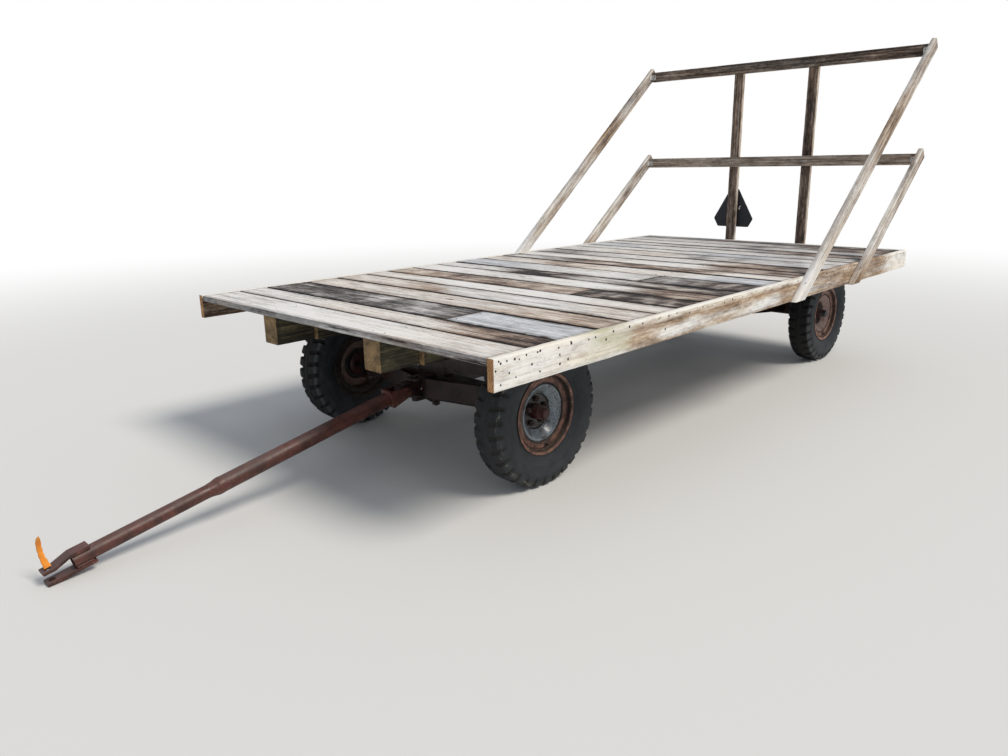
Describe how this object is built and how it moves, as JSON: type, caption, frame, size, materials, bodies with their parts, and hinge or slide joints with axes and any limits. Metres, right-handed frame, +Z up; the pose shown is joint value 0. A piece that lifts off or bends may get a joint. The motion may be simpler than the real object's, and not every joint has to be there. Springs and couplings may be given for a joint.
{
  "type": "flat hay wagon with rear rack",
  "caption": "Four-wheeled farm wagon with a plank deck, a hay rack at the rear, steered front wheels and a pipe tongue resting on the ground.",
  "frame": {"origin": "on the ground under the centre of the whole wagon, tongue included", "axes": "+Z up, -Y forward (the tongue's end), +X to the wagon's left"},
  "size_m": [2.59, 6.2964, 2.515],
  "materials": {
    "weathered_boards": "grey weathered boards",
    "side_rail_wood": "pale weathered lumber",
    "rack_wood": "dark weathered lumber",
    "treated_timber": "olive treated timber",
    "rusty_steel": "rusty maroon steel",
    "wheel_steel": "rusty painted steel",
    "sign_plate": "faded orange sheet, blank",
    "tyre": "dusty black rubber"
  },
  "bodies": {
    "wagon": {"deck_planks": "weathered_boards", "side_rail_left": "side_rail_wood", "timber_left": "treated_timber", "doubling_board_left": "treated_timber", "rack_post_left": "rack_wood", "brace_tall_left": "side_rail_wood", "brace_short_left": "side_rail_wood", "side_rail_right": "side_rail_wood", "timber_right": "treated_timber", "doubling_board_right": "treated_timber", "rack_post_right": "rack_wood", "brace_tall_right": "side_rail_wood", "brace_short_right": "side_rail_wood", "rear_board": "weathered_boards", "rack_rail_top": "rack_wood", "rack_rail_middle": "rack_wood", "rear_sign": "sign_plate", "front_axle": "rusty_steel", "front_bolster": "rusty_steel", "front_hounds": "rusty_steel", "rear_axle": "rusty_steel", "rear_bolster": "rusty_steel", "rear_hounds": "rusty_steel", "reach_tube": "rusty_steel", "front_stakes": "rusty_steel", "rear_stakes": "rusty_steel"},
    "steering_crank": {"steering_crank": "rusty_steel"},
    "tie_rod_left": {"tie_rod_left": "rusty_steel"},
    "tie_rod_right": {"tie_rod_right": "rusty_steel"},
    "tongue": {"tongue_yoke": "rusty_steel", "tongue_rear_pipe": "rusty_steel", "tongue_front_pipe": "rusty_steel", "hitch_strap_upper": "rusty_steel", "hitch_strap_lower": "rusty_steel"},
    "knuckle_left": {"knuckle_left": "rusty_steel"},
    "knuckle_right": {"knuckle_right": "rusty_steel"},
    "wheel_front_left": {"tyre_front_left": "tyre", "wheel_front_left": "wheel_steel", "hub_front_left": "rusty_steel"},
    "wheel_front_right": {"tyre_front_right": "tyre", "wheel_front_right": "wheel_steel", "hub_front_right": "rusty_steel"},
    "wheel_rear_left": {"tyre_rear_left": "tyre", "wheel_rear_left": "wheel_steel", "hub_rear_left": "rusty_steel"},
    "wheel_rear_right": {"tyre_rear_right": "tyre", "wheel_rear_right": "wheel_steel", "hub_rear_right": "rusty_steel"}
  },
  "joints": [
    {"name": "steering", "type": "hinge", "parent": "wagon", "child": "steering_crank", "pos_m": [0, -1.15031, 0.412], "axis": [0, 0, 1], "range_deg": [-30, 30]},
    {"name": "tongue_lift", "type": "hinge", "parent": "steering_crank", "child": "tongue", "pos_m": [0, -1.25031, 0.405], "axis": [-1, 0, 0], "range_deg": [0, 30]},
    {"name": "knuckle_left_turn", "type": "hinge", "parent": "wagon", "child": "knuckle_left", "pos_m": [0.64, -0.99031, 0.412], "axis": [0, 0, 1], "range_deg": [-30, 30]},
    {"name": "tie_rod_left_turn", "type": "hinge", "parent": "steering_crank", "child": "tie_rod_left", "pos_m": [0, -1.00031, 0.3], "axis": [0, 0, 1], "range_deg": [-30, 30]},
    {"name": "knuckle_right_turn", "type": "hinge", "parent": "wagon", "child": "knuckle_right", "pos_m": [-0.64, -0.99031, 0.412], "axis": [0, 0, 1], "range_deg": [-30, 30]},
    {"name": "tie_rod_right_turn", "type": "hinge", "parent": "steering_crank", "child": "tie_rod_right", "pos_m": [0, -1.00031, 0.3], "axis": [0, 0, 1], "range_deg": [-30, 30]},
    {"name": "wheel_front_left_spin", "type": "hinge", "parent": "knuckle_left", "child": "wheel_front_left", "pos_m": [0.783, -0.99031, 0.39], "axis": [1, 0, 0], "continuous": true},
    {"name": "wheel_front_right_spin", "type": "hinge", "parent": "knuckle_right", "child": "wheel_front_right", "pos_m": [-0.783, -0.99031, 0.39], "axis": [1, 0, 0], "continuous": true},
    {"name": "wheel_rear_left_spin", "type": "hinge", "parent": "wagon", "child": "wheel_rear_left", "pos_m": [0.783, 2.55969, 0.39], "axis": [1, 0, 0], "continuous": true},
    {"name": "wheel_rear_right_spin", "type": "hinge", "parent": "wagon", "child": "wheel_rear_right", "pos_m": [-0.783, 2.55969, 0.39], "axis": [1, 0, 0], "continuous": true}
  ],
  "couplings": [
    {"joint": "knuckle_left_turn", "follows": "steering", "ratio": 1},
    {"joint": "tie_rod_left_turn", "follows": "steering", "ratio": -1},
    {"joint": "knuckle_right_turn", "follows": "steering", "ratio": 1},
    {"joint": "tie_rod_right_turn", "follows": "steering", "ratio": -1}
  ]
}
